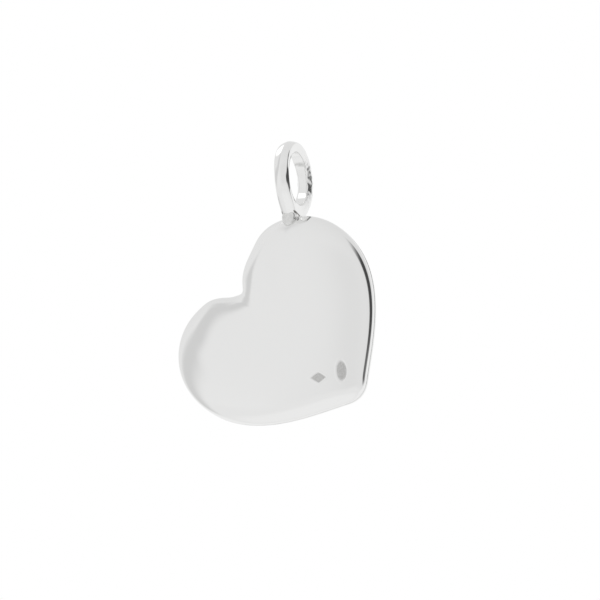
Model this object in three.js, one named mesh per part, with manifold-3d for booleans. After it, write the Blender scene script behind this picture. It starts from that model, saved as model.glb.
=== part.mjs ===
// Heart pendant in polished silver: two domed shells joined by a seam of solder at the rim, and a bail
// ring soldered on top of one lobe, square to the face.
// Millimetres, +Z up, hanging as it is worn, with the marked back towards -Y and X to the right.
// The origin is where a chain carries the pendant, at the top of the hole in the bail.
import * as THREE from 'three';
import { mergeVertices } from 'three/addons/utils/BufferGeometryUtils.js';
import Module from 'manifold-3d';

const wasm = await Module();
wasm.setup();

// Heart outline, upright, measured from the notch between the lobes; handles set how full its curves are
const HALF_WIDTH = 8.45;
const LOBE_TOP_RISE = 2.11;
const LOBE_TOP_FROM_AXIS = 3.91;
const WIDEST_DROP = 2.98;
const TIP_DROP = 12.93;
const TIP_ROUNDING = 1.38;
const TIP_HALF_ANGLE = THREE.MathUtils.degToRad(55.4);
const NOTCH_HALF_ANGLE = THREE.MathUtils.degToRad(35);
const NOTCH_HANDLE = 1.25;
const LOBE_INNER_HANDLE = 1.22;
const LOBE_OUTER_HANDLE = 2.2;
const SHOULDER_HANDLE = 3.17;
const FLANK_HANDLE = 4.87;
const TIP_HANDLE = 3.17;

// Domed shells and the solder between their rims
const DOME_CENTRE_DROP = 4.2;
const DOME_HEIGHT = 1.6;
const SHELL_WALL = 0.35;
const RIM_LAND = 0.6;
const SEAM_THICKNESS = 0.12;

// Bail ring, a band with six edges that is widest at half its thickness
const BAIL_HOLE_DIAMETER = 4;
const BAND_THICKNESS = 0.9;
const BAND_WIDTH = 1.2;
const BAND_OUTER_WIDTH = 1;
const BAND_INNER_WIDTH = 0.68;

// How the heart hangs: the lean of its axis, and how far beside the rim's highest point the bail sits
const HANG_ANGLE = THREE.MathUtils.degToRad(47);
const BAIL_FROM_HIGHEST = 0.4;

// Solder between the bail and the rim, filed flat on both faces
const JOINT_THICKNESS = 0.1;
const SOLDER_RISE = 0.2;
const SOLDER_DEPTH = 0.95;
const SOLDER_TOP_REACH = 0.75;
const SOLDER_LOW_REACH = 1.45;
const SOLDER_OVERHANG = 0.08;
const SOLDER_CLEARANCE = 0.03;

// Fineness of the surfaces
const HALF_OUTLINE_STEPS = 48;
const OUTER_RINGS = 9;
const INNER_RINGS = 6;
const BAIL_STEPS = 48;
const SOLDER_STEPS = 32;
const WELD_DISTANCE = 1e-4;
const NEARLY_ZERO = 1e-9;

const polishedSilver = new THREE.MeshStandardMaterial({ color: 0xe2e1df, roughness: 0.08, metalness: 1 });
const solderSilver = new THREE.MeshStandardMaterial({ color: 0xcfcecb, roughness: 0.2, metalness: 1 });

// Turns a point of the upright heart about the notch to the angle at which it hangs
const hang = (point) => point.rotateAround(new THREE.Vector2(0, 0), HANG_ANGLE);

// Closed outline of the hanging heart, anticlockwise: one half drawn from notch to tip, then mirrored
function heartOutline() {
  const tipStart = new THREE.Vector2(
    TIP_ROUNDING * Math.sin(TIP_HALF_ANGLE),
    TIP_ROUNDING * Math.cos(TIP_HALF_ANGLE) - TIP_DROP,
  );
  const tipMiddleY = (tipStart.y - TIP_DROP) / 2;
  const half = new THREE.Path();
  half.moveTo(0, 0);
  half.bezierCurveTo(
    NOTCH_HANDLE * Math.sin(NOTCH_HALF_ANGLE), NOTCH_HANDLE * Math.cos(NOTCH_HALF_ANGLE),
    LOBE_TOP_FROM_AXIS - LOBE_INNER_HANDLE, LOBE_TOP_RISE,
    LOBE_TOP_FROM_AXIS, LOBE_TOP_RISE,
  );
  half.bezierCurveTo(
    LOBE_TOP_FROM_AXIS + LOBE_OUTER_HANDLE, LOBE_TOP_RISE,
    HALF_WIDTH, SHOULDER_HANDLE - WIDEST_DROP,
    HALF_WIDTH, -WIDEST_DROP,
  );
  half.bezierCurveTo(
    HALF_WIDTH, -WIDEST_DROP - FLANK_HANDLE,
    tipStart.x + TIP_HANDLE * Math.sin(TIP_HALF_ANGLE), tipStart.y + TIP_HANDLE * Math.cos(TIP_HALF_ANGLE),
    tipStart.x, tipStart.y,
  );
  half.quadraticCurveTo(tipStart.x / 2, tipMiddleY, 0, tipMiddleY);
  const right = half.getSpacedPoints(HALF_OUTLINE_STEPS);
  const left = right.slice(1, -1).map((point) => new THREE.Vector2(-point.x, point.y));
  return [...left, ...right.reverse()].map(hang);
}

const domeCentre = hang(new THREE.Vector2(0, -DOME_CENTRE_DROP));

// The outline moved towards the dome's centre, or away from it where the inset is negative
function insetOutline(outline, inset) {
  return outline.map((point) => {
    const spoke = point.clone().sub(domeCentre).normalize();
    return point.clone().addScaledVector(spoke, -inset);
  });
}

// Distance from an inner point to the outline, smoothed so that the dome gets no creases: two over the sum,
// for each straight step of the outline, of what it spans seen from the point over the distance to its line
function smoothRimDistance(point, outline) {
  const total = outline.reduce((sum, start, index) => {
    const toStart = start.clone().sub(point);
    const toEnd = outline[(index + 1) % outline.length].clone().sub(point);
    const along = toEnd.clone().sub(toStart).normalize();
    const lineDistance = toStart.cross(along);
    const spanned = along.dot(toEnd) / toEnd.length() - along.dot(toStart) / toStart.length();
    return Math.abs(lineDistance) < NEARLY_ZERO ? sum : sum + spanned / lineDistance;
  }, 0);
  return 2 / total;
}

// Rings of points from the rim of a pillow-shaped dome to its centre: the plan shrinks towards the centre,
// and the height follows a quarter ellipse over the distance to the rim. Side is -1 for back, 1 for front.
function domeRings(outline, height, ringCount, side) {
  const plans = [];
  for (let ring = 0; ring < ringCount; ring += 1) {
    const reach = Math.cos((ring / ringCount) * (Math.PI / 2));
    plans.push(outline.map((point) => domeCentre.clone().lerp(point, reach)));
  }
  plans.push([domeCentre]);
  const depths = plans.map((plan, ring) => (
    plan.map((point) => (ring === 0 ? 0 : smoothRimDistance(point, outline)))
  ));
  const deepest = Math.max(...depths.flat());
  const rise = (depth) => height * Math.sqrt(1 - (1 - depth / deepest) ** 2);
  return plans.map((plan, ring) => plan.map((point, index) => (
    new THREE.Vector3(point.x, side * (SEAM_THICKNESS / 2 + rise(depths[ring][index])), point.y)
  )));
}

// Closed surface through a sequence of rings. A ring of one point closes an end of the sequence, and a
// looped sequence joins its last ring to its first.
function surfaceThroughRings(rings, looped) {
  const corners = [];
  const firsts = [];
  rings.forEach((ring) => {
    firsts.push(corners.length);
    corners.push(...ring);
  });
  const corner = (ring, step) => firsts[ring] + (step % rings[ring].length);
  const triangles = [];
  const bands = looped ? rings.length : rings.length - 1;
  for (let band = 0; band < bands; band += 1) {
    const next = (band + 1) % rings.length;
    const steps = Math.max(rings[band].length, rings[next].length);
    for (let step = 0; step < steps; step += 1) {
      const near = [corner(band, step), corner(band, step + 1)];
      const far = [corner(next, step), corner(next, step + 1)];
      if (near[0] !== near[1]) triangles.push(near[0], near[1], far[1]);
      if (far[0] !== far[1]) triangles.push(near[0], far[1], far[0]);
    }
  }
  const geometry = new THREE.BufferGeometry().setFromPoints(corners);
  geometry.setIndex(triangles);
  geometry.computeVertexNormals();
  return geometry;
}

// One half of the heart, from the middle of its hollow over the flat land at the rim to the top of its dome
function shellGeometry(outline, side) {
  const outer = domeRings(outline, DOME_HEIGHT, OUTER_RINGS, side);
  const inner = domeRings(insetOutline(outline, RIM_LAND), DOME_HEIGHT - SHELL_WALL, INNER_RINGS, side);
  const rings = [...inner.reverse(), ...outer];
  return surfaceThroughRings(side < 0 ? rings : rings.reverse(), false);
}

// Flat ribbon of solder between the two lands, flush with the rim
function seamGeometry(outline) {
  const land = insetOutline(outline, RIM_LAND);
  const level = (plan, side) => plan.map((point) => (
    new THREE.Vector3(point.x, side * (SEAM_THICKNESS / 2), point.y)
  ));
  return surfaceThroughRings([level(outline, 1), level(outline, -1), level(land, -1), level(land, 1)], true);
}

// Whole heart without its hollow, grown by a clearance, as the solder under the bail meets it
function heartEnvelope(outline, clearance) {
  const grown = insetOutline(outline, -clearance);
  const back = domeRings(grown, DOME_HEIGHT + clearance, OUTER_RINGS, -1);
  const front = domeRings(grown, DOME_HEIGHT + clearance, OUTER_RINGS, 1);
  return surfaceThroughRings([...front.reverse(), ...back], false);
}

// Bail ring about the X axis, centred on the origin: the band's section turned through a full circle
function bailGeometry(clearance) {
  const inner = BAIL_HOLE_DIAMETER / 2 - clearance;
  const outer = BAIL_HOLE_DIAMETER / 2 + BAND_THICKNESS + clearance;
  const middle = (inner + outer) / 2;
  const corner = (radius, width, side) => new THREE.Vector2(radius, side * (width / 2 + clearance));
  const section = [
    corner(inner, BAND_INNER_WIDTH, -1),
    corner(middle, BAND_WIDTH, -1),
    corner(outer, BAND_OUTER_WIDTH, -1),
    corner(outer, BAND_OUTER_WIDTH, 1),
    corner(middle, BAND_WIDTH, 1),
    corner(inner, BAND_INNER_WIDTH, 1),
    corner(inner, BAND_INNER_WIDTH, -1),
  ];
  return new THREE.LatheGeometry(section, BAIL_STEPS).rotateZ(-Math.PI / 2);
}

// Height of the rim's upper edge at a distance across the hanging heart
function rimHeightAt(x, outline) {
  const heights = outline.map((start, index) => {
    const end = outline[(index + 1) % outline.length];
    const share = (x - start.x) / (end.x - start.x);
    return share >= 0 && share <= 1 ? THREE.MathUtils.lerp(start.y, end.y, share) : -Infinity;
  });
  return Math.max(...heights);
}

// Solid for adding and cutting, with the surface's shared corners welded
function solidOf(geometry) {
  const bare = geometry.clone();
  bare.deleteAttribute('normal');
  bare.deleteAttribute('uv');
  const welded = mergeVertices(bare, WELD_DISTANCE);
  return new wasm.Manifold(new wasm.Mesh({
    numProp: 3,
    vertProperties: new Float32Array(welded.attributes.position.array),
    triVerts: new Uint32Array(welded.index.array),
  }));
}

function geometryOf(solid) {
  const mesh = solid.getMesh();
  const geometry = new THREE.BufferGeometry();
  geometry.setAttribute('position', new THREE.BufferAttribute(mesh.vertProperties, 3));
  geometry.setIndex(new THREE.BufferAttribute(mesh.triVerts, 1));
  geometry.computeVertexNormals();
  return geometry;
}

// Solder that fills the corners between the bail and the two domes: a wedge that spreads downwards, with half
// an ellipse for its lower edge, less the bail and the heart
function bailSolderGeometry(outline, bailCentre, rimTop) {
  const halfWidth = BAND_WIDTH / 2 + SOLDER_OVERHANG;
  const height = SOLDER_RISE + SOLDER_DEPTH;
  const slopes = new THREE.Shape([
    new THREE.Vector2(SOLDER_TOP_REACH, 0),
    new THREE.Vector2(-SOLDER_TOP_REACH, 0),
    new THREE.Vector2(-SOLDER_LOW_REACH, -height),
    new THREE.Vector2(SOLDER_LOW_REACH, -height),
  ]);
  const wedge = new THREE.ExtrudeGeometry(slopes, { depth: halfWidth * 2, bevelEnabled: false });
  wedge.translate(0, 0, -halfWidth).rotateX(Math.PI / 2).rotateZ(Math.PI / 2);
  const oval = new THREE.CylinderGeometry(1, 1, SOLDER_LOW_REACH * 2 + height, SOLDER_STEPS);
  oval.scale(halfWidth, 1, height);
  const place = new THREE.Vector3(bailCentre.x, 0, rimTop + SOLDER_RISE);
  [wedge, oval].forEach((geometry) => geometry.translate(place.x, place.y, place.z));
  const bail = bailGeometry(SOLDER_CLEARANCE).translate(bailCentre.x, bailCentre.y, bailCentre.z);
  const heart = heartEnvelope(outline, SOLDER_CLEARANCE);
  const filed = solidOf(wedge).intersect(solidOf(oval));
  return geometryOf(filed.subtract(solidOf(bail)).subtract(solidOf(heart)));
}

function namedMesh(name, geometry, material) {
  const mesh = new THREE.Mesh(geometry, material);
  mesh.name = name;
  return mesh;
}

const outline = heartOutline();
const highest = outline.reduce((best, point) => (point.y > best.y ? point : best));
const bailX = highest.x - BAIL_FROM_HIGHEST;
const bandPlaces = [bailX - BAND_WIDTH / 2, bailX, bailX + BAND_WIDTH / 2];
const rimTop = Math.max(...bandPlaces.map((place) => rimHeightAt(place, outline)));
const bailCentreZ = rimTop + JOINT_THICKNESS + BAND_THICKNESS + BAIL_HOLE_DIAMETER / 2;
const bailCentre = new THREE.Vector3(bailX, 0, bailCentreZ);

const bailRing = namedMesh('bail_ring', bailGeometry(0), polishedSilver);
bailRing.position.copy(bailCentre);

const pendant = new THREE.Group();
pendant.position.set(-bailX, 0, -bailCentreZ - BAIL_HOLE_DIAMETER / 2);
pendant.add(
  namedMesh('back_shell', shellGeometry(outline, -1), polishedSilver),
  namedMesh('front_shell', shellGeometry(outline, 1), polishedSilver),
  namedMesh('rim_seam', seamGeometry(outline), solderSilver),
  bailRing,
  namedMesh('bail_solder', bailSolderGeometry(outline, bailCentre, rimTop), solderSilver),
);

const scene = new THREE.Group();
scene.add(pendant);

export default scene;
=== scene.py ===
"""Heart pendant in polished silver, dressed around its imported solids.

Blender works in metres, with +Z up as the pendant hangs, -Y out of its marked back and +X to the right seen
from that side. The classes hold their sizes in millimetres, which become metres when a mesh is made.
"""

import logging
import math
from collections.abc import Mapping, Sequence
from dataclasses import dataclass
from enum import Enum

import bpy
import numpy as np
from mathutils import Matrix, Vector


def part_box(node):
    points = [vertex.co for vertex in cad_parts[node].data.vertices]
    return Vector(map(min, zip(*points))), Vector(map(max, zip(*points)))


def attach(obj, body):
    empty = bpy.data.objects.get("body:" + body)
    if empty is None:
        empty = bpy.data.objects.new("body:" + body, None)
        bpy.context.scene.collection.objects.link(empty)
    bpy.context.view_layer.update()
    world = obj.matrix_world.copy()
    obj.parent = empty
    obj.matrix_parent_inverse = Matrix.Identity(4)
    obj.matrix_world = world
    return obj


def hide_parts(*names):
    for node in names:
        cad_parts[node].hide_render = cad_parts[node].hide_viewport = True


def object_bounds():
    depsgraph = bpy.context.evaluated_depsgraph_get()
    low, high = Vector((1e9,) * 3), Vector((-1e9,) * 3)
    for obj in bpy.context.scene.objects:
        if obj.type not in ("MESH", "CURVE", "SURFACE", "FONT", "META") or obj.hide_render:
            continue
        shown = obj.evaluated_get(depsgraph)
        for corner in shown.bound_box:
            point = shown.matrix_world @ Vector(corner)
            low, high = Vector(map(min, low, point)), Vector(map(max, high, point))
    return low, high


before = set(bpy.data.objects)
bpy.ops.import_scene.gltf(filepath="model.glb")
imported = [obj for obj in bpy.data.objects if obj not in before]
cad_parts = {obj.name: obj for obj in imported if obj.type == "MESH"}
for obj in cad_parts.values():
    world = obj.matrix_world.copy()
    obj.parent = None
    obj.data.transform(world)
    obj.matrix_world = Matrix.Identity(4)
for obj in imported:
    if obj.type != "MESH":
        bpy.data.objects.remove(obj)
CAD_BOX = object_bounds()

MILLIMETRE = 0.001
BODY = "root"
SHARP_ANGLE = math.radians(38)

Colour = tuple[float, float, float, float]
Number = "Field | float"

log = logging.getLogger("heart_pendant")


class Side(Enum):
    """The two domed shells: the value is the direction of their dome along Y."""

    BACK = -1
    FRONT = 1


class Punch(Enum):
    """Outline of a plain punch: the value is the exponent of its rounded form, near one for a lozenge."""

    LOZENGE = 1.15
    OVAL = 2.0


def bezier(controls: Sequence[Sequence[float]], count: int) -> np.ndarray:
    """Points of a Bezier curve: its control points weighted by the Bernstein polynomials.

    Args:
        controls: The control points, the two ends among them.
        count: How many points; the far end is left out, so that curves can follow each other.
    Returns:
        One row for each point.
    """
    share = np.linspace(0.0, 1.0, count, endpoint=False)[:, None]
    degree = len(controls) - 1
    powers = np.arange(degree + 1)
    factors = np.array([math.comb(degree, power) for power in powers])
    return (factors * share**powers * (1 - share) ** (degree - powers)) @ np.array(controls, float)


def spaced(path: np.ndarray, shares: np.ndarray) -> np.ndarray:
    """Points at given shares of a path's length, from 0 at its start to 1 at its end.

    Args:
        path: The points that the path runs through.
        shares: Where the wanted points lie.
    Returns:
        One row for each share.
    """
    steps = np.linalg.norm(np.diff(path, axis=0), axis=1)
    along = np.concatenate(([0.0], np.cumsum(steps)))
    places = shares * along[-1]
    return np.column_stack([np.interp(places, along, column) for column in path.T])


def crowded(count: int, centre: float, reach: float, gain: float) -> np.ndarray:
    """Shares from 0 to 1 that crowd round a centre: equal steps of the running sum of 1 + gain * bell.

    Args:
        count: How many steps there are.
        centre: The share round which they are closest.
        reach: How far from the centre the bell has fallen to a third.
        gain: How much closer the steps are at the centre; 0 gives equal steps.
    Returns:
        count + 1 shares, from 0 to 1.
    """
    fine_steps = 4000
    fine = np.linspace(0.0, 1.0, fine_steps + 1)
    density = 1 + gain * np.exp(-(((fine - centre) / reach) ** 2))
    running = np.concatenate(([0.0], np.cumsum((density[1:] + density[:-1]) / 2)))
    return np.interp(np.linspace(0.0, running[-1], count + 1), running, fine)


def smoothstep(low: float, high: float, values: np.ndarray) -> np.ndarray:
    """Soft step from 0 at low to 1 at high: 3t^2 - 2t^3 of the share t between them."""
    share = np.clip((values - low) / (high - low), 0.0, 1.0)
    return share**2 * (3 - 2 * share)


def turned(points: np.ndarray, angle: float) -> np.ndarray:
    """Plan points turned anticlockwise about the origin by an angle in radians."""
    cosine, sine = math.cos(angle), math.sin(angle)
    return points @ np.array([[cosine, sine], [-sine, cosine]])


def grey(level: float) -> Colour:
    """Plain grey of one level."""
    return (level, level, level, 1.0)


def facing(azimuth: float, elevation: float) -> tuple[Vector, Vector]:
    """Direction out from the pendant, and the level direction to its right.

    Args:
        azimuth: Degrees round the pendant: 0 is straight out of the marked back and 90 is along +X.
        elevation: Degrees above the level.
    Returns:
        The two unit vectors.
    """
    turn, lift = math.radians(azimuth), math.radians(elevation)
    level = Vector((math.sin(turn), -math.cos(turn), 0.0))
    direction = level * math.cos(lift) + Vector((0.0, 0.0, math.sin(lift)))
    return direction, Vector((math.cos(turn), math.sin(turn), 0.0))


def ring_mesh(name: str, rings: np.ndarray, poles: Sequence[Sequence[float]] = ()) -> bpy.types.Object:
    """Closed mesh through rings of points, smooth apart from its sharp edges.

    Point (ring, step) makes a four-cornered face with the next step and the next ring. Two poles close the
    first and the last ring by fans of triangles, and without poles the last ring joins the first.

    Args:
        name: Name of the object and its mesh.
        rings: Points in millimetres, indexed by ring, step and axis.
        poles: The two end points, or none.
    Returns:
        The new object, linked to the scene, with its faces pointing outwards.
    """
    count, steps = rings.shape[:2]
    bands = count - 1 if poles else count
    ring, step = np.meshgrid(np.arange(bands), np.arange(steps), indexing="ij")
    after = (step + 1) % steps
    above = (ring + 1) % count
    corners = [ring * steps + step, ring * steps + after, above * steps + after, above * steps + step]
    faces = np.stack(corners, axis=-1).reshape(-1, 4).tolist()
    points = rings.reshape(-1, 3)
    if poles:
        points = np.vstack([points, np.array(poles, float)])
        round_ring = np.arange(steps)
        round_after = (round_ring + 1) % steps
        first_fan = [np.full(steps, count * steps), round_after, round_ring]
        last_ring = (count - 1) * steps
        last_fan = [np.full(steps, count * steps + 1), last_ring + round_ring, last_ring + round_after]
        faces += np.stack(first_fan, axis=-1).tolist() + np.stack(last_fan, axis=-1).tolist()
    mesh = bpy.data.meshes.new(name)
    mesh.from_pydata((points * MILLIMETRE).tolist(), [], faces)
    if enclosed_volume(mesh) < 0:
        mesh.flip_normals()
    mesh.polygons.foreach_set("use_smooth", np.ones(len(mesh.polygons), bool))
    mesh.set_sharp_from_angle(angle=SHARP_ANGLE)
    mesh.update()
    piece = bpy.data.objects.new(name, mesh)
    bpy.context.scene.collection.objects.link(piece)
    return piece


def enclosed_volume(mesh: bpy.types.Mesh) -> float:
    """Signed volume inside a mesh: a sixth of the sum of a . (b x c) over its triangles a, b, c."""
    mesh.calc_loop_triangles()
    points = np.zeros(len(mesh.vertices) * 3)
    mesh.vertices.foreach_get("co", points)
    triangles = np.zeros(len(mesh.loop_triangles) * 3, np.int32)
    mesh.loop_triangles.foreach_get("vertices", triangles)
    corner = points.reshape(-1, 3)[triangles.reshape(-1, 3)]
    return float(np.sum(corner[:, 0] * np.cross(corner[:, 1], corner[:, 2])) / 6)


class Field:
    """A value that changes over a surface: one socket of a node tree, with arithmetic."""

    def __init__(self, nodes: "Nodes", socket: bpy.types.NodeSocket) -> None:
        """Wraps a socket of the given nodes."""
        self.nodes = nodes
        self.socket = socket

    def __add__(self, other: Number) -> "Field":
        """Sum of two values."""
        return self.nodes.maths("ADD", self, other)

    def __radd__(self, other: Number) -> "Field":
        """Sum with a plain number on the left."""
        return self.nodes.maths("ADD", other, self)

    def __sub__(self, other: Number) -> "Field":
        """Difference of two values."""
        return self.nodes.maths("SUBTRACT", self, other)

    def __rsub__(self, other: Number) -> "Field":
        """Difference from a plain number, such as 1 - mask."""
        return self.nodes.maths("SUBTRACT", other, self)

    def __mul__(self, other: Number) -> "Field":
        """Product of two values."""
        return self.nodes.maths("MULTIPLY", self, other)

    def __rmul__(self, other: Number) -> "Field":
        """Product with a plain number on the left."""
        return self.nodes.maths("MULTIPLY", other, self)

    def __truediv__(self, other: Number) -> "Field":
        """Quotient of two values."""
        return self.nodes.maths("DIVIDE", self, other)

    def __pow__(self, other: Number) -> "Field":
        """Power of a value."""
        return self.nodes.maths("POWER", self, other)

    def __abs__(self) -> "Field":
        """Value without its sign."""
        return self.nodes.maths("ABSOLUTE", self)

    def rise(self, low: float, high: float) -> "Field":
        """Soft step of the value.

        Args:
            low: Where the step starts, at 0.
            high: Where it ends, at 1; below low, the step falls instead.
        Returns:
            The step as a value from 0 to 1.
        """
        start, end = (0.0, 1.0) if low < high else (1.0, 0.0)
        limits = {"From Min": min(low, high), "From Max": max(low, high), "To Min": start, "To Max": end}
        settings = {"interpolation_type": "SMOOTHSTEP"}
        return self.nodes.field("ShaderNodeMapRange", settings, {"Value": self, **limits})


class Nodes:
    """The node tree of one material or of the world."""

    def __init__(self, owner: bpy.types.Material | bpy.types.World) -> None:
        """Starts an empty node tree on a material or a world."""
        owner.use_nodes = True
        self.tree = owner.node_tree
        self.tree.nodes.clear()

    def add(self, kind: str, settings: Mapping = {}, sockets: Mapping = {}) -> bpy.types.Node:
        """Adds a node.

        Args:
            kind: The node's type.
            settings: Its own settings, set first.
            sockets: Values or links of its sockets, by name or index.
        Returns:
            The node.
        """
        node = self.tree.nodes.new(kind)
        for name, value in settings.items():
            setattr(node, name, value)
        for key, value in sockets.items():
            source = value.socket if isinstance(value, Field) else value
            if isinstance(source, bpy.types.NodeSocket):
                self.tree.links.new(source, node.inputs[key])
            else:
                node.inputs[key].default_value = source
        return node

    def field(self, kind: str, settings: Mapping = {}, sockets: Mapping = {}) -> Field:
        """Adds a node and wraps its first output."""
        return Field(self, self.add(kind, settings, sockets).outputs[0])

    def maths(self, operation: str, *values: Number) -> Field:
        """Adds a Math node for an operation on values or plain numbers."""
        return self.field("ShaderNodeMath", {"operation": operation}, dict(enumerate(values)))

    def place(self) -> tuple[Field, Field, Field]:
        """The point of the surface in the pendant's frame, as three values in millimetres."""
        coordinates = self.add("ShaderNodeTexCoord").outputs["Object"]
        parts = self.add("ShaderNodeSeparateXYZ", {}, {0: coordinates})
        return tuple(Field(self, part) / MILLIMETRE for part in parts.outputs)

    def vector(self, x: Number, y: Number, z: Number) -> bpy.types.NodeSocket:
        """Joins three values into a vector."""
        return self.add("ShaderNodeCombineXYZ", {}, {0: x, 1: y, 2: z}).outputs[0]

    def dot(self, direction: bpy.types.NodeSocket, axis: Vector) -> Field:
        """Share of a direction along an axis."""
        product = self.add("ShaderNodeVectorMath", {"operation": "DOT_PRODUCT"}, {0: direction, 1: axis})
        return Field(self, product.outputs["Value"])

    def noise(self, place: bpy.types.NodeSocket, scale: float, detail: float = 2.0) -> Field:
        """Noise about one half.

        Args:
            place: The point at which it is read.
            scale: Features to a unit of the place.
            detail: How many finer octaves it has.
        Returns:
            The noise as a value from 0 to 1.
        """
        return self.field("ShaderNodeTexNoise", {}, {"Vector": place, "Scale": scale, "Detail": detail})

    def blend(self, factor: Number, first: Colour, second: Colour) -> bpy.types.NodeSocket:
        """Colour between two colours, the first one at factor 0."""
        mix = self.add("ShaderNodeMix", {"data_type": "RGBA"}, {0: factor, 6: first, 7: second})
        return mix.outputs[2]

    def hairlines(self, along: Field, across: Field, depth: Field) -> Field:
        """Fine lines of buffing: noise stretched along the strokes and cut to its crests.

        Args:
            along: Distance along the strokes, in millimetres.
            across: Distance across them.
            depth: Distance out of the surface's plan.
        Returns:
            1 in a line and 0 between the lines.
        """
        lengthwise, crosswise, outwards = 0.22, 9.0, 3.0
        crest_start, crest_end = 0.56, 0.74
        stretched = self.vector(along * lengthwise, across * crosswise, depth * outwards)
        return self.noise(stretched, scale=1.0, detail=3.0).rise(crest_start, crest_end)

    def between(self, factor: Number, first: bpy.types.Node, second: bpy.types.Node) -> bpy.types.Node:
        """Shader between two shaders, the first one at factor 0."""
        return self.add("ShaderNodeMixShader", {}, {0: factor, 1: first.outputs[0], 2: second.outputs[0]})

    def finish(self, shader: bpy.types.Node) -> None:
        """Joins a shader to the surface's output."""
        self.add("ShaderNodeOutputMaterial", {}, {"Surface": shader.outputs[0]})


@dataclass(frozen=True)
class SilverFinish:
    """How a silver surface looks: its clean colour, its dark colour for stains and painted shade, its
    polish and its relief.
    """

    clean: Colour
    stained_and_shaded: Colour
    polished: float
    rubbed: float
    hairline_depth: float
    wave_depth: float
    grain_depth: float
    grain_scale: float
    wave_scale: float = 0.45
    cloud_scale: float = 0.9
    line_dullness: float = 0.22
    cloud_dullness: float = 0.12
    clean_grain: float = 0.15

    def shade(self, nodes: Nodes, hairlines: Field, stain_and_shade: Field, rubbing: Field) -> None:
        """Makes the metal shader from the masks of its piece.

        Args:
            nodes: The material's nodes.
            hairlines: 1 in the lines left by buffing.
            stain_and_shade: 1 where the surface is darkened: by stains, and on the ring's foot by a painted
                shade line.
            rubbing: 1 where it is rubbed dull.
        """
        x, y, z = nodes.place()
        place = nodes.vector(x, y, z)
        grain = nodes.noise(place, self.grain_scale, detail=4.0)
        waves = nodes.noise(place, self.wave_scale, detail=1.0)
        cloud = nodes.noise(place, self.cloud_scale, detail=3.0).rise(0.5, 0.75)
        dulled = rubbing + hairlines * self.line_dullness + cloud * self.cloud_dullness
        dull = nodes.maths("MINIMUM", dulled, 1.0)
        relief = waves * self.wave_depth + grain * self.grain_depth * (rubbing + self.clean_grain)
        relief = relief - hairlines * self.hairline_depth
        bump = nodes.add("ShaderNodeBump", {}, {"Strength": 1.0, "Distance": MILLIMETRE, "Height": relief})
        shader = nodes.add("ShaderNodeBsdfPrincipled", {}, {
            "Base Color": nodes.blend(stain_and_shade, self.clean, self.stained_and_shaded),
            "Metallic": 1.0,
            "Roughness": dull * (self.rubbed - self.polished) + self.polished,
            "Normal": bump.outputs[0],
        })
        nodes.finish(shader)


# The dark colour serves the stains and also the painted shade line at the ring's foot.
POLISHED = SilverFinish(
    clean=(0.88, 0.88, 0.875, 1.0),
    stained_and_shaded=(0.2, 0.195, 0.185, 1.0),
    polished=0.045,
    rubbed=0.3,
    hairline_depth=0.00012,
    wave_depth=0.002,
    grain_depth=0.004,
    grain_scale=14.0,
)
SOLDERED = SilverFinish(
    clean=(0.8, 0.8, 0.79, 1.0),
    stained_and_shaded=(0.12, 0.115, 0.11, 1.0),
    polished=0.13,
    rubbed=0.42,
    hairline_depth=0.0003,
    wave_depth=0.002,
    grain_depth=0.0008,
    grain_scale=9.0,
)


def dressed(
    piece: bpy.types.Object,
    node: str,
    nodes: Nodes,
    material: bpy.types.Material,
) -> None:
    """Gives a piece its material and its place in the frame, and reports it.

    Args:
        piece: The new piece, in place.
        node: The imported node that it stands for.
        nodes: The material's nodes, counted for the report.
        material: The material.
    """
    piece.data.materials.append(material)
    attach(piece, BODY)
    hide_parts(node)
    faces, parts = len(piece.data.polygons), len(nodes.tree.nodes)
    log.info("%s: %d faces, material of %d nodes", piece.name, faces, parts)


def new_material(name: str) -> tuple[bpy.types.Material, Nodes]:
    """A new material and its empty nodes."""
    material = bpy.data.materials.new(name)
    return material, Nodes(material)


@dataclass(frozen=True)
class PunchMark:
    """A plain punch sunk into the back, placed on the upright heart by its distance from the notch."""

    x: float
    y: float
    half_width: float
    half_height: float
    turn: float
    outline: Punch
    depth: float = 0.07
    wall_start: float = 0.72
    wall_end: float = 1.04
    lip: float = 0.012
    lip_place: float = 1.14
    lip_reach: float = 0.09

    def radius(self, upright: np.ndarray) -> np.ndarray:
        """Distance from the punch's middle as a share of its outline.

        Args:
            upright: Plan points of the upright heart.
        Returns:
            (|x/a|^p + |y/b|^p)^(1/p) for each point: 1 on the outline, less inside.
        """
        local = turned(upright - np.array([self.x, self.y]), -math.radians(self.turn))
        power = self.outline.value
        shares = np.abs(local / np.array([self.half_width, self.half_height])) ** power
        return shares.sum(axis=-1) ** (1 / power)

    def floor(self, upright: np.ndarray) -> np.ndarray:
        """1 on the sunk floor of the punch and 0 outside, with a sloped wall between."""
        return 1 - smoothstep(self.wall_start, self.wall_end, self.radius(upright))

    def sunk(self, upright: np.ndarray) -> np.ndarray:
        """Depth below the dome: the floor's depth less a fine lip of metal pushed up round the outline."""
        lip = np.exp(-(((self.radius(upright) - self.lip_place) / self.lip_reach) ** 2))
        return self.depth * self.floor(upright) - self.lip * lip


@dataclass(frozen=True)
class Swell:
    """A slight hand-worked bulge of the heart's outline, or a hollow where the amount is below zero."""

    place: float
    amount: float
    reach: float

    def outwards(self, shares: np.ndarray) -> np.ndarray:
        """How far it moves the outline, at shares of the outline's length.

        It is amount * exp(-((share - place) / reach)^2).
        """
        return self.amount * np.exp(-(((shares - self.place) / self.reach) ** 2))


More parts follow.
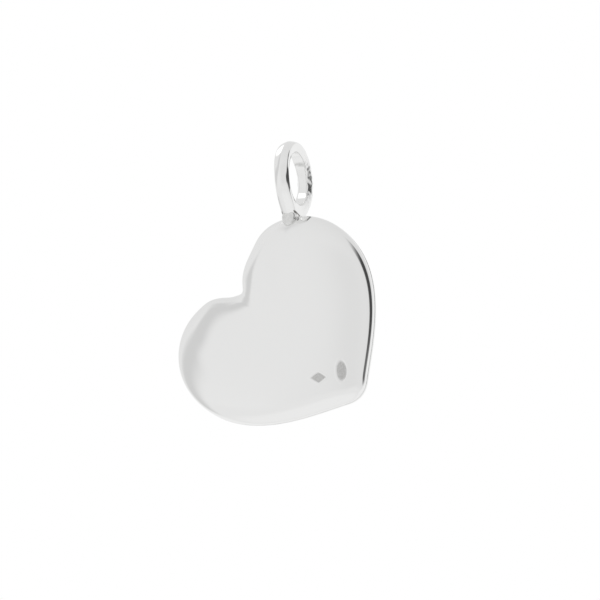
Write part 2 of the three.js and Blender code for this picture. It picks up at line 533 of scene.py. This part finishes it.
@dataclass
class Heart:
    """The puffed heart: two domed shells and the seam of solder that joins their rims."""

    half_width: float = 8.45
    lobe_top_rise: float = 2.11
    lobe_top_from_axis: float = 3.91
    widest_drop: float = 2.98
    tip_drop: float = 12.93
    tip_rounding: float = 1.38
    tip_half_angle: float = math.radians(55.4)
    notch_half_angle: float = math.radians(35)
    notch_handle: float = 1.25
    lobe_inner_handle: float = 1.22
    lobe_outer_handle: float = 2.2
    shoulder_handle: float = 3.17
    flank_handle: float = 4.87
    tip_handle: float = 3.17
    dome_centre_drop: float = 4.2
    dome_height: float = 1.6
    shell_wall: float = 0.35
    rim_land: float = 0.6
    seam_thickness: float = 0.12
    seam_groove: float = 0.03
    hang_angle: float = math.radians(47)
    swells: tuple[Swell, ...] = (
        Swell(0.018, -0.13, 0.014),
        Swell(0.054, 0.22, 0.02),
        Swell(0.932, -0.32, 0.034),
    )
    full_exponent: float = 4.0
    full_direction: float = 117.0
    full_reach: float = 32.0
    spokes: int = 480
    outer_rings: int = 132
    inner_rings: int = 8
    seam_steps: int = 9
    tip_place: float = 0.5
    tip_crowding: float = 5.0
    tip_crowding_reach: float = 0.075
    punch_place: float = 0.5
    punch_crowding: float = 5.0 / 3
    punch_crowding_reach: float = 0.14
    punches: tuple[PunchMark, ...] = (
        PunchMark(-0.98, -9.62, 0.62, 0.42, -47.0, Punch.LOZENGE),
        PunchMark(0.52, -10.65, 0.4, 0.82, -47.0, Punch.OVAL),
    )

    def half_path(self) -> np.ndarray:
        """Fine points of the upright heart's right half, from the notch to the tip.

        Three Bezier curves follow the lobe and the flank, and a fourth rounds the tip.
        """
        fine = 300
        notch = (self.notch_handle * math.sin(self.notch_half_angle),
                 self.notch_handle * math.cos(self.notch_half_angle))
        lobe_top = (self.lobe_top_from_axis, self.lobe_top_rise)
        widest = (self.half_width, -self.widest_drop)
        tip_line = np.array([math.sin(self.tip_half_angle), math.cos(self.tip_half_angle)])
        tip_start = self.tip_rounding * tip_line - np.array([0.0, self.tip_drop])
        tip_middle = (tip_start[1] - self.tip_drop) / 2
        inner_lobe = [(0, 0), notch, (lobe_top[0] - self.lobe_inner_handle, lobe_top[1]), lobe_top]
        outer_lobe = [lobe_top, (lobe_top[0] + self.lobe_outer_handle, lobe_top[1]),
                      (widest[0], widest[1] + self.shoulder_handle), widest]
        flank = [widest, (widest[0], widest[1] - self.flank_handle),
                 tip_start + self.tip_handle * tip_line, tip_start]
        tip = [tip_start, (tip_start[0] / 2, tip_middle), (0, tip_middle)]
        curves = [bezier(controls, fine) for controls in (inner_lobe, outer_lobe, flank, tip)]
        return np.vstack([*curves, [[0.0, tip_middle]]])

    def outline(self, gain: float) -> np.ndarray:
        """Closed outline of the hanging heart, anticlockwise seen from the back, starting at the notch.

        The two halves mirror each other, apart from hand-worked swells and hollows beside the notch.

        Args:
            gain: How much the points crowd towards the tip.
        Returns:
            Plan points (x, z) measured from the notch, one for each spoke.
        """
        right = self.half_path()
        left = right * np.array([-1.0, 1.0])
        shares = crowded(self.spokes, self.tip_place, self.tip_crowding_reach, gain)[:-1]
        even = spaced(np.vstack([left, right[-2::-1]]), shares)
        along = np.roll(even, -1, axis=0) - np.roll(even, 1, axis=0)
        outwards = np.stack([along[:, 1], -along[:, 0]], axis=-1) / np.linalg.norm(along, axis=1)[:, None]
        swell = sum(swell.outwards(shares) for swell in self.swells)
        return turned(even + outwards * swell[:, None], self.hang_angle)

    @property
    def dome_centre(self) -> np.ndarray:
        """Plan point towards which the domes' rings shrink."""
        return turned(np.array([0.0, -self.dome_centre_drop]), self.hang_angle)

    @property
    def place(self) -> np.ndarray:
        """Where the notch lies in the pendant's frame: the outline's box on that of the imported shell."""
        low, high = (np.array(corner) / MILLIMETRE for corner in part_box("back_shell"))
        outline = self.outline(0.0)
        middle = (outline.min(axis=0) + outline.max(axis=0)) / 2
        return (low + high) / 2 * np.array([1, 0, 1]) - np.array([middle[0], 0.0, middle[1]])

    def rim_top(self, x: np.ndarray) -> np.ndarray:
        """Height of the rim's upper edge in the pendant's frame, at distances across it."""
        outline = self.outline(0.0)[: self.spokes // 2 - 1 : -1] + self.place[[0, 2]]
        upper = outline[: np.argmax(outline[:, 0])]
        return np.interp(x, upper[:, 0], upper[:, 1])

    def inset(self, outline: np.ndarray, amount: np.ndarray | float) -> np.ndarray:
        """The outline moved towards the dome's centre by an amount."""
        spokes = outline - self.dome_centre
        return outline - spokes / np.linalg.norm(spokes, axis=-1, keepdims=True) * amount

    @staticmethod
    def rim_distance(points: np.ndarray, outline: np.ndarray) -> np.ndarray:
        """Distance to the outline, smoothed so that a dome gets no creases.

        It is two over the sum, for each straight step of the outline, of what the step spans seen from the
        point over the distance to the step's line.

        Args:
            points: Plan points inside the outline.
            outline: Closed outline, anticlockwise.
        Returns:
            One distance for each point.
        """
        steps = np.roll(outline, -1, axis=0) - outline
        along = steps / np.linalg.norm(steps, axis=1, keepdims=True)
        to_start = outline - points[:, None]
        to_end = np.roll(to_start, -1, axis=1)
        line = to_start[..., 0] * along[:, 1] - to_start[..., 1] * along[:, 0]
        share = (to_start * along).sum(-1) / np.linalg.norm(to_start, axis=-1)
        end_share = (to_end * along).sum(-1) / np.linalg.norm(to_end, axis=-1)
        on_line = 1e-9
        over = np.where(line == 0, 1.0, line)
        spanned = np.where(np.abs(line) < on_line, 0.0, (end_share - share) / over)
        return 2 / spanned.sum(axis=1)

    def fullness(self, points: np.ndarray) -> np.ndarray:
        """Exponent of the dome's roll: 2, a quarter ellipse, and more on the upper lobe's left.

        Args:
            points: Plan points measured from the notch.
        Returns:
            2 + (full - 2) * a soft window of the direction from the dome's centre.
        """
        spokes = points - self.dome_centre
        turn = np.degrees(np.arctan2(spokes[..., 1], spokes[..., 0]))
        window = 1 - smoothstep(0.0, self.full_reach, np.abs(turn - self.full_direction))
        return 2 + (self.full_exponent - 2) * window

    def roll(self, distance: np.ndarray, deepest: float, height: float, power: np.ndarray) -> np.ndarray:
        """Rise of a dome at distances u from its rim: height * (1 - (1 - u / deepest)^p)^(1 / p)."""
        left = np.clip(1 - distance / deepest, 0.0, 1.0)
        return height * (1 - left**power) ** (1 / power)

    def dome_rise(self, points: np.ndarray) -> np.ndarray:
        """Rise of the shells' outer dome over plan points measured from the notch, and 0 off the heart.

        Args:
            points: Plan points, one row each.
        Returns:
            One height for each point.
        """
        outline = self.outline(0.0)
        farthest, fan_steps, spokes_apart = 0.6, 9, 12
        towards_rim = np.linspace(0.0, farthest, fan_steps)[:, None, None]
        fan = self.dome_centre + towards_rim * (outline[::spokes_apart] - self.dome_centre)
        deepest = self.rim_distance(fan.reshape(-1, 2), outline).max()
        distance = self.rim_distance(points, outline)
        return self.roll(distance, deepest, self.dome_height, self.fullness(points))

    def dome(self, outline: np.ndarray, height: float, shares: np.ndarray) -> tuple[np.ndarray, np.ndarray]:
        """Rings of a pillow-shaped dome from its rim to its centre.

        The plan shrinks towards the centre by the cosine of a quarter turn's share, and the rise rolls up
        over the smoothed distance to the rim.

        Args:
            outline: The rim.
            height: The dome's height.
            shares: Shares of the quarter turn, 0 at the rim and 1, the last one, at the centre.
        Returns:
            The plan of each ring and the rise of each of its points; the last ring is all at the centre.
        """
        reach = np.cos(shares * math.pi / 2)[:, None, None]
        plan = self.dome_centre + reach * (outline - self.dome_centre)
        inner = [self.rim_distance(ring, outline) for ring in plan[1:]]
        distance = np.vstack([np.zeros(len(outline)), *inner])
        return plan, self.roll(distance, distance.max(), height, self.fullness(plan))

    def domed(self, plan: np.ndarray, rise: np.ndarray, side: Side) -> np.ndarray:
        """Points of dome rings in the pendant's frame, risen to one side of the seam."""
        y = side.value * (self.seam_thickness / 2 + rise)
        return np.stack([plan[..., 0], y, plan[..., 1]], axis=-1) + self.place

    def shell(self, side: Side) -> bpy.types.Object:
        """One shell: from the middle of its hollow over the flat land at the rim to the top of its dome.

        Args:
            side: Which shell; only the back has punches, and crowded points round them.
        Returns:
            The shell, with an attribute that is 1 on the floor of a punch.
        """
        tip_gain, punch_gain = (self.tip_crowding, self.punch_crowding) if side is Side.BACK else (0.0, 0.0)
        outline = self.outline(tip_gain)
        outer_shares = crowded(self.outer_rings, self.punch_place, self.punch_crowding_reach, punch_gain)
        plan, rise = self.dome(outline, self.dome_height, outer_shares)
        marked = np.zeros(rise.shape)
        if side is Side.BACK:
            upright = turned(plan, -self.hang_angle)
            rise = rise - sum(punch.sunk(upright) for punch in self.punches)
            marked = sum(punch.floor(upright) for punch in self.punches)
        hollow_rim = self.inset(outline, self.rim_land)
        hollow_shares = np.linspace(0.0, 1.0, self.inner_rings + 1)
        hollow = self.dome(hollow_rim, self.dome_height - self.shell_wall, hollow_shares)
        outer, inner = self.domed(plan, rise, side), self.domed(*hollow, side)
        rings = np.vstack([inner[-2::-1], outer[:-1]])
        shell = ring_mesh(f"{side.name.lower()}_shell_dressed", rings, [inner[-1, 0], outer[-1, 0]])
        values = np.concatenate([np.zeros(inner[1:].shape[:2]).ravel(), marked[:-1].ravel(), [0.0, 0.0]])
        attribute = shell.data.attributes.new("punched", "FLOAT", "POINT")
        attribute.data.foreach_set("value", values.astype(np.float32))
        return shell

    def seam(self) -> bpy.types.Object:
        """Ribbon of solder between the lands: a flat section with a shallow groove, carried round the rim.

        The section's outer edge is inset by groove * (1 - (2y / thickness)^2) across the seam.
        """
        half = self.seam_thickness / 2
        across = np.linspace(1.0, -1.0, self.seam_steps)
        insets = np.concatenate([self.seam_groove * (1 - across**2), [self.rim_land, self.rim_land]])
        heights = np.concatenate([across, [-1.0, 1.0]]) * half
        outline = self.outline(0.0)
        plan = self.inset(outline, insets[:, None, None])
        y = np.broadcast_to(heights[:, None], plan.shape[:2])
        rings = np.stack([plan[..., 0], y, plan[..., 1]], axis=-1) + self.place
        return ring_mesh("rim_seam_dressed", rings)

    def dress_shell(self, shell: bpy.types.Object, side: Side) -> None:
        """Polished silver with straight buffing strokes, a darker line beside the seam and dull punches.

        Args:
            shell: The shell's mesh.
            side: Which shell it is; each was buffed in its own direction.
        """
        material, nodes = new_material(f"{side.name.lower()}_polished_silver")
        x, y, z = nodes.place()
        stroke_turn = 0.5 if side is Side.BACK else -0.7
        along = x * math.cos(stroke_turn) + z * math.sin(stroke_turn)
        across = z * math.cos(stroke_turn) - x * math.sin(stroke_turn)
        strokes = nodes.hairlines(along, across, y)
        crossing_slant, crossing_share = 0.35, 0.7
        crossing = nodes.hairlines(across + along * crossing_slant, along, y)
        hairlines = nodes.maths("MAXIMUM", strokes, crossing * crossing_share)
        attribute = nodes.add("ShaderNodeAttribute", {"attribute_name": "punched"})
        punched = Field(nodes, attribute.outputs["Fac"])
        place = nodes.vector(x, y, z)
        patches = nodes.noise(place, scale=1.6, detail=3.0)
        beside_seam = abs(y).rise(0.3, 0.07) * patches.rise(0.3, 0.65)
        grit = nodes.noise(place, scale=7.0, detail=3.0)
        seam_stain, seam_rub, punch_rub = 0.05, 0.25, 0.8
        punch_stain = 0.27 + grit * 0.38
        stain_and_shade = beside_seam * seam_stain + punched * punch_stain
        rubbing = nodes.maths("MAXIMUM", punched * punch_rub, beside_seam * seam_rub)
        POLISHED.shade(nodes, hairlines, stain_and_shade, rubbing)
        dressed(shell, f"{side.name.lower()}_shell", nodes, material)

    def dress_seam(self, seam: bpy.types.Object) -> None:
        """Solder that is duller than the shells and stained in patches along the groove.

        Args:
            seam: The seam's mesh.
        """
        material, nodes = new_material("seam_solder_silver")
        x, y, z = nodes.place()
        patches = nodes.noise(nodes.vector(x, y, z), scale=1.1, detail=3.0).rise(0.4, 0.7)
        hairlines = nodes.hairlines(x + z, z - x, y)
        SOLDERED.shade(nodes, hairlines, stain_and_shade=patches * 0.12, rubbing=patches * 0.5)
        dressed(seam, "rim_seam", nodes, material)

    def build(self) -> None:
        """Builds and dresses the two shells and the seam."""
        for side in Side:
            self.dress_shell(self.shell(side), side)
        self.dress_seam(self.seam())


@dataclass(frozen=True)
class FiledFlat:
    """A stretch of the ring whose band was filed to other widths, with crisper edges than elsewhere."""

    direction: float
    reach: float
    outer_width: float
    inner_width: float
    crispness: float

    def share(self, turn: np.ndarray) -> np.ndarray:
        """How much of the flat shows at turns of the ring: 1 in its middle and 0 past its reach."""
        apart = np.abs((np.degrees(turn) - self.direction + 180) % 360 - 180)
        return 1 - smoothstep(0.0, self.reach, apart)


@dataclass
class Bail:
    """The ring that a chain passes through, and the solder that holds it on the heart's rim."""

    heart: Heart
    hole_diameter: float = 4.0
    band_thickness: float = 0.9
    band_width: float = 1.2
    band_outer_width: float = 1.08
    band_inner_width: float = 0.9
    edge_crispness: float = 18.0
    outer_crown: float = 0.8
    crown_sides: int = 6
    crown_lean: float = 28.0
    flats: tuple[FiledFlat, ...] = (
        FiledFlat(-15.0, 44.0, 0.71, 0.9, 60.0),
        FiledFlat(172.0, 46.0, 1.08, 0.63, 24.0),
    )
    dent_depth: float = 0.014
    dent_direction: float = 175.0
    dent_reach: float = 75.0
    foot_spread: float = math.radians(48)
    foot_drop: float = 0.6
    shade_line_drop: float = 0.1
    shade_line_slope: float = 0.15
    solder_rise: float = 0.03
    solder_depth: float = 0.9
    solder_top_reach: float = 1.18
    solder_low_reach: float = 1.31
    solder_setback: float = 0.03
    solder_crown: float = 0.12
    solder_sink: float = 0.04
    solder_roll: int = 9
    ring_steps: int = 288
    section_steps: int = 144
    solder_rings: int = 56
    solder_steps: int = 144

    @property
    def centre_z(self) -> float:
        """Height of the ring's axis: the chain's seat is the top of the hole."""
        return -self.hole_diameter / 2

    @property
    def middle_radius(self) -> float:
        """Radius of the middle of the band."""
        return (self.hole_diameter + self.band_thickness) / 2

    def section(self, outer_width: float, inner_width: float, crispness: float) -> np.ndarray:
        """Section of the band: flat inside, crowned outside, with two facets on each side.

        At each angle the distance from the middle is the one at which the sum, over the sides, of
        (distance along the side's normal / distance of the side)^crispness is 1. The crown is many
        sides that touch an arc.

        Args:
            outer_width: Width between the side facets where they meet the outer face.
            inner_width: Width between them where they meet the inner face.
            crispness: How sharp the edges between the sides are.
        Returns:
            Rows of the distance across the band and the distance out of its middle radius.
        """
        half, rise = self.band_width / 2, self.band_thickness / 2
        lean = np.radians(np.linspace(0.0, self.crown_lean, self.crown_sides))
        crown = np.stack([np.sin(lean), np.cos(lean)], axis=-1)
        facets = np.array([(rise, half - outer_width / 2), (rise, inner_width / 2 - half)])
        facets = facets / np.linalg.norm(facets, axis=1, keepdims=True)
        normals = np.vstack([crown, facets, [[0.0, -1.0]]])
        from_arc = (rise - self.outer_crown) * np.cos(lean) + self.outer_crown
        distances = np.concatenate([from_arc, facets[:, 0] * half, [rise]])
        angle = np.linspace(0.0, 2 * math.pi, self.section_steps, endpoint=False)
        ways = np.stack([np.sin(angle), np.cos(angle)], axis=-1)
        reach = np.maximum((np.abs(ways * (1, 0)) + ways * (0, 1)) @ normals.T, 0.0) / distances
        return ways / ((reach**crispness).sum(axis=1) ** (1 / crispness))[:, None]

    def ring(self) -> bpy.types.Object:
        """Band carried about X through a full circle, with filed flats, shallow dents and a straight foot.

        The section is the plain one plus, for each flat, its share of the difference. At an angle f from
        straight down the outer radius R becomes the lesser of R / cos(spread - f), the straight sides, and
        (R + drop) / cos(f), the flat sole, and the section stretches from the hole outwards. The dents
        are three ripples round the far side that widen and narrow the band.
        """
        turn = np.linspace(0.0, 2 * math.pi, self.ring_steps, endpoint=False)[:, None]
        plain = self.section(self.band_outer_width, self.band_inner_width, self.edge_crispness)
        shape = plain + np.zeros((self.ring_steps, 1, 1))
        for flat in self.flats:
            filed = self.section(flat.outer_width, flat.inner_width, flat.crispness)
            shape = shape + flat.share(turn)[..., None] * (filed - plain)
        across, offset = shape[..., 0], shape[..., 1]
        waves = ((13, 6.0, 0.0), (23, -9.0, 1.0), (37, 7.0, 2.0))
        ripple = sum(np.sin(count * turn + slant * offset + start) for count, slant, start in waves)
        from_dents = np.abs(np.degrees(turn) - self.dent_direction)
        x = across * (1 + self.dent_depth * ripple * (1 - smoothstep(0.0, self.dent_reach, from_dents)))
        from_foot = np.abs((turn - math.pi / 2) % (2 * math.pi) - math.pi)
        outer = self.middle_radius + self.band_thickness / 2
        straight = outer / np.cos(np.clip(self.foot_spread - from_foot, 0.0, None))
        least_cosine = 0.2
        sole = (outer + self.foot_drop) / np.maximum(np.cos(from_foot), least_cosine)
        grown = np.minimum(straight, sole) - outer
        radius = self.middle_radius + offset + grown * (offset / self.band_thickness + 0.5)
        rings = np.stack([x, -np.cos(turn) * radius, np.sin(turn) * radius + self.centre_z], axis=-1)
        return ring_mesh("bail_ring_dressed", rings)

    def solder(self) -> bpy.types.Object:
        """Solder between the ring and the two domes, filed to a flat half-moon on each face.

        Seen from the face it is a disc of two half ellipses, a deep lower one and a shallow crown inside
        the ring. Over the disc the face is a plane that leans outwards below, and towards the disc's edge,
        e = 1, it rolls over into the dome by sqrt(1 - e^roll).
        """
        heart = self.heart
        e = np.linspace(0.0, 1.0, self.solder_rings + 1)[1:, None]
        turn = np.linspace(0.0, 2 * math.pi, self.solder_steps, endpoint=False)
        height = self.solder_rise + self.solder_depth
        half_width = self.band_width / 2 - self.solder_setback
        top = heart.rim_top(np.zeros(1))[0] + self.solder_rise
        x = half_width * e * np.cos(turn)
        below = e * np.sin(turn) * np.where(np.sin(turn) > 0, height, self.solder_crown)
        z = top - below
        plan = np.stack([x, z], axis=-1) - heart.place[[0, 2]]
        on_heart = z < heart.rim_top(x)
        rise = np.where(on_heart, heart.dome_rise(plan.reshape(-1, 2)).reshape(x.shape), 0.0)
        base = np.maximum(heart.seam_thickness / 2 + rise - self.solder_sink, 0.0)
        plane = self.solder_top_reach + (self.solder_low_reach - self.solder_top_reach) * below / height
        y = base + np.maximum(plane - base, 0.0) * np.sqrt(1 - e**self.solder_roll)
        back = np.stack([x, -y, z], axis=-1)
        front = np.stack([x, y, z], axis=-1)[::-1]
        poles = [(0.0, -self.solder_top_reach, top), (0.0, self.solder_top_reach, top)]
        return ring_mesh("bail_solder_dressed", np.vstack([back, front]), poles)

    def dress_ring(self, ring: bpy.types.Object) -> None:
        """Polished silver buffed round the ring, rubbed inside by a chain and worn on its far side.

        A painted shade line slants across both sides of the foot. It stands for the dark crevice where the
        ring meets the solder and the heart's rim.

        Args:
            ring: The ring's mesh.
        """
        material, nodes = new_material("bail_polished_silver")
        x, y, z = nodes.place()
        height = z - self.centre_z
        radius = (y * y + height * height) ** 0.5
        angle = nodes.maths("ARCTAN2", y, height)
        strokes = nodes.hairlines(angle * self.middle_radius, x, radius)
        hole_radius = self.hole_diameter / 2
        inside = radius.rise(hole_radius + 0.16, hole_radius + 0.02)
        chain_rub = inside * height.rise(0.6, 1.7)
        sole = self.middle_radius + self.band_thickness / 2
        # Painted shade: this thin dark line on the foot's sides stands for the shadow in the crevice where
        # the ring meets the solder and the rim.
        from_shade_line = height + sole + self.shade_line_drop + y * self.shade_line_slope
        on_line = abs(from_shade_line).rise(0.085, 0.05)
        on_sides = abs(x).rise(0.42, 0.48)
        within_foot = abs(y).rise(1.35, 1.2)
        crevice_shade_line = on_line * on_sides * within_foot
        worn = x.rise(0.2, 0.4) * y.rise(0.8, 1.6)
        rubbing = chain_rub * 0.16 + crevice_shade_line * 0.5 + worn * 0.6
        POLISHED.shade(nodes, strokes, stain_and_shade=crevice_shade_line, rubbing=rubbing)
        dressed(ring, "bail_ring", nodes, material)

    def dress_solder(self, solder: bpy.types.Object) -> None:
        """Filed solder: grainy, with strokes across the rim and faint patches of stain.

        Args:
            solder: The solder's mesh.
        """
        material, nodes = new_material("bail_solder_silver")
        x, y, z = nodes.place()
        hairlines = nodes.hairlines(z - y, x, y + z)
        patches = nodes.noise(nodes.vector(x, y, z), scale=2.4, detail=3.0).rise(0.4, 0.75)
        SOLDERED.shade(nodes, hairlines, stain_and_shade=patches * 0.15, rubbing=patches * 0.2 + 0.7)
        dressed(solder, "bail_solder", nodes, material)

    def build(self) -> None:
        """Builds and dresses the ring and its solder."""
        self.dress_ring(self.ring())
        self.dress_solder(self.solder())


@dataclass(frozen=True)
class SoftPanel:
    """A flat panel of light or shade on the wall of the light tent, seen from the pendant.

    Its azimuth, elevation and turn are in degrees. The half sizes and the softness of the edges are
    tangents of the angle from the panel's middle. The fade is further softness of the two ends.
    """

    azimuth: float
    elevation: float
    turn: float
    half_width: float
    half_height: float
    softness: float
    level: float
    fade: float = 0.0

    def axes(self) -> tuple[Vector, Vector, Vector]:
        """Directions to the panel's middle, along its width and along its height."""
        middle, width = facing(self.azimuth, self.elevation)
        roll = Matrix.Rotation(math.radians(self.turn), 3, middle)
        return middle, roll @ width, roll @ width.cross(middle) * -1

    def mask(self, nodes: Nodes, direction: bpy.types.NodeSocket) -> Field:
        """Mask of the panel on the tent's wall.

        Args:
            nodes: The tent's nodes.
            direction: Direction from the pendant to the wall.
        Returns:
            1 on the panel and 0 off it, with soft edges.
        """
        forward, right, up = (nodes.dot(direction, axis) for axis in self.axes())
        least_ahead = 0.001
        ahead = nodes.maths("MAXIMUM", forward, least_ahead)
        edge, end = self.softness / 2, (self.softness + self.fade) / 2
        sideways = abs(right / ahead).rise(self.half_width + edge, self.half_width - edge)
        upwards = abs(up / ahead).rise(self.half_height + end, self.half_height - end)
        return sideways * upwards * forward.rise(0.0, 0.05)


@dataclass(frozen=True)
class NearCard:
    """A small card close to the pendant, which only the surfaces that face it mirror.

    Its panel gives its direction from a point about the pendant, its turn, its half sizes and its level.
    """

    name: str
    panel: SoftPanel
    about: tuple[float, float, float]
    distance: float


@dataclass
class Studio:
    """Plain soft studio: a pale floor, a white tent with soft panels, two near cards and a camera."""

    azimuth: float = 21.0
    elevation: float = -14.6
    lens: float = 320.0
    frame_width: float = 45.0
    aim_right: float = 4.06
    aim_down: float = 0.39
    floor_drop: float = 320.0
    floor_radius: float = 330.0
    floor_thickness: float = 2.0
    floor_steps: int = 96
    tent_radius: float = 950.0
    tent_rings: int = 32
    tent_steps: int = 64
    tent_level: float = 0.848
    tent_slope: tuple[float, float, float] = (-0.03, -0.03, -0.03)
    panels: tuple[SoftPanel, ...] = (
        SoftPanel(27.0, -20.0, 15.0, 0.67, 1.62, 1.0, 0.815),
        SoftPanel(0.0, -90.0, 0.0, 1.8, 1.8, 1.4, 0.88),
        SoftPanel(180.0, -15.0, 0.0, 1.5, 1.2, 1.0, 0.94),
        SoftPanel(-78.0, -5.2, -55.5, 0.25, 0.942, 0.36, 0.7),
        SoftPanel(-44.0, 32.0, 9.0, 0.13, 0.32, 0.14, 0.7),
        SoftPanel(-52.0, 56.0, -60.0, 0.21, 0.14, 0.26, 0.7),
        SoftPanel(103.0, 25.0, 19.0, 0.24, 0.64, 0.15, 0.07, 0.5),
    )
    card_thickness: float = 0.2
    card_steps: int = 48
    cards: tuple[NearCard, ...] = (
        NearCard(
            name="bail_card",
            panel=SoftPanel(-101.0, 58.0, -30.0, 0.48, 0.43, 0.0, 1.3),
            about=(-0.3, -1.9, -0.5),
            distance=5.0,
        ),
        NearCard(
            name="lobe_card",
            panel=SoftPanel(-52.0, 38.0, -16.0, 0.65, 1.46, 0.0, 0.865),
            about=(-2.0, -0.8, -7.4),
            distance=3.1,
        ),
    )

    def camera(self, notch: np.ndarray) -> None:
        """Places the camera on the photograph's line of sight, aimed beside the notch.

        Args:
            notch: The heart's notch, in millimetres.
        """
        data = bpy.data.cameras.new("photo_camera")
        data.lens = self.lens
        data.clip_start = 0.01
        camera = bpy.data.objects.new("photo_camera", data)
        bpy.context.scene.collection.objects.link(camera)
        towards, right = facing(self.azimuth, self.elevation)
        up = towards.cross(right)
        aim = Vector(notch) + right * self.aim_right - up * self.aim_down
        distance = self.lens * self.frame_width / data.sensor_width
        camera.location = (aim + towards * distance) * MILLIMETRE
        camera.rotation_euler = (-towards).to_track_quat("-Z", "Y").to_euler()
        bpy.context.scene.camera = camera
        log.info("camera: %.0f mm lens at %.0f mm", self.lens, distance)

    def floor(self) -> None:
        """Pale round floor far below the pendant, with the mottle of seamless paper.

        The metal mirrors it as plain light, a little darker towards its edge.
        """
        turn = np.linspace(0.0, 2 * math.pi, self.floor_steps, endpoint=False)
        edge = np.stack([np.cos(turn), np.sin(turn), np.zeros_like(turn)], axis=-1) * self.floor_radius
        top, under = (0.0, 0.0, -self.floor_drop), (0.0, 0.0, -self.floor_drop - self.floor_thickness)
        floor = ring_mesh("studio_floor", np.stack([edge + top, edge + under]), [top, under])
        material, nodes = new_material("pale_paper")
        x, y, z = nodes.place()
        mottle = nodes.noise(nodes.vector(x, y, z), scale=0.02, detail=3.0)
        colour = nodes.blend(mottle, grey(0.955), grey(0.985))
        paper = nodes.add("ShaderNodeBsdfDiffuse", {}, {"Color": colour})
        pale_share = 0.45
        towards_edge = ((x * x + y * y) ** 0.5).rise(pale_share * self.floor_radius, self.floor_radius)
        shown = nodes.blend(towards_edge, grey(0.93), grey(0.88))
        white = nodes.add("ShaderNodeEmission", {}, {"Color": shown, "Strength": 1.0})
        mirrored = Field(nodes, nodes.add("ShaderNodeLightPath").outputs["Is Glossy Ray"])
        nodes.finish(nodes.between(mirrored, paper, white))
        floor.data.materials.append(material)

    def tent(self, centre: Sequence[float]) -> None:
        """Round white tent about the pendant, lit from outside, with soft panels of light and shade.

        Args:
            centre: The tent's middle, in millimetres.
        """
        lift = np.linspace(-math.pi / 2, math.pi / 2, self.tent_rings + 2)[1:-1, None]
        turn = np.linspace(0.0, 2 * math.pi, self.tent_steps, endpoint=False)
        upwards = np.broadcast_to(np.sin(lift), (self.tent_rings, self.tent_steps))
        wall = np.stack([np.cos(lift) * np.cos(turn), np.cos(lift) * np.sin(turn), upwards], axis=-1)
        wall = wall * self.tent_radius + np.array(centre)
        poles = [np.array(centre) + (0, 0, side * self.tent_radius) for side in (-1, 1)]
        tent = ring_mesh("light_tent", wall, poles)
        material, nodes = new_material("tent_cloth")
        coordinates = nodes.add("ShaderNodeTexCoord").outputs["Object"]
        middle = Vector(centre) * MILLIMETRE
        offset = nodes.add("ShaderNodeVectorMath", {"operation": "SUBTRACT"}, {0: coordinates, 1: middle})
        unit = nodes.add("ShaderNodeVectorMath", {"operation": "NORMALIZE"}, {0: offset.outputs[0]})
        direction = unit.outputs[0]
        level = nodes.dot(direction, Vector(self.tent_slope)) + self.tent_level
        for panel in self.panels:
            mask = panel.mask(nodes, direction)
            level = level + mask * (panel.level - level)
        shown = nodes.vector(level, level, level)
        nodes.finish(nodes.add("ShaderNodeEmission", {}, {"Color": shown, "Strength": 1.0}))
        tent.data.materials.append(material)
        tent.visible_camera = False

    def near_card(self, card: NearCard) -> None:
        """Oval card of light close to the pendant, which fades to clear towards its edge.

        Its edge is the card's middle direction plus its width and height axes times the cosine and sine of
        a turn, all times its distance.

        Args:
            card: The card to hang.
        """
        middle, right, up = (np.array(axis) for axis in card.panel.axes())
        half_width, half_height = card.panel.half_width, card.panel.half_height
        turn = np.linspace(0.0, 2 * math.pi, self.card_steps, endpoint=False)[:, None]
        edge = np.cos(turn) * right * half_width + np.sin(turn) * up * half_height
        front = (middle + edge) * card.distance + np.array(card.about)
        centre = middle * card.distance + np.array(card.about)
        thickness = middle * self.card_thickness
        piece = ring_mesh(card.name, np.stack([front, front + thickness]), [centre, centre + thickness])
        material, nodes = new_material(card.name)
        x, y, z = nodes.place()
        from_centre = nodes.vector(x - centre[0], y - centre[1], z - centre[2])
        sideways = nodes.dot(from_centre, Vector(right)) / (half_width * card.distance)
        upwards = nodes.dot(from_centre, Vector(up)) / (half_height * card.distance)
        inwards = ((sideways * sideways + upwards * upwards) ** 0.5).rise(1.0, 0.5)
        shown = {"Color": grey(1.0), "Strength": card.panel.level}
        light = nodes.add("ShaderNodeEmission", {}, shown)
        clear = nodes.add("ShaderNodeBsdfTransparent")
        nodes.finish(nodes.between(inwards, clear, light))
        piece.data.materials.append(material)
        piece.visible_camera = False

    def surroundings(self) -> None:
        """White world behind the tent, which the camera looks through, and the plain view settings."""
        scene = bpy.context.scene
        scene.view_settings.view_transform = "Standard"
        scene.world = bpy.data.worlds.new("white_surroundings")
        nodes = Nodes(scene.world)
        shader = nodes.add("ShaderNodeBackground", {}, {"Color": grey(1.0), "Strength": 1.0})
        nodes.add("ShaderNodeOutputWorld", {}, {"Surface": shader.outputs[0]})

    def build(self, notch: np.ndarray) -> None:
        """Builds the camera, the floor, the tent, the near cards and the world round the pendant.

        Args:
            notch: The heart's notch, in millimetres.
        """
        self.camera(notch)
        self.floor()
        low, high = CAD_BOX
        self.tent(tuple((low + high) / 2 / MILLIMETRE))
        for card in self.cards:
            self.near_card(card)
        self.surroundings()


def main() -> None:
    """Builds the pendant and its studio."""
    logging.basicConfig(level=logging.INFO, format="%(name)s: %(message)s")
    heart = Heart()
    heart.build()
    Bail(heart).build()
    Studio().build(heart.place)


if __name__ == "__main__":
    main()
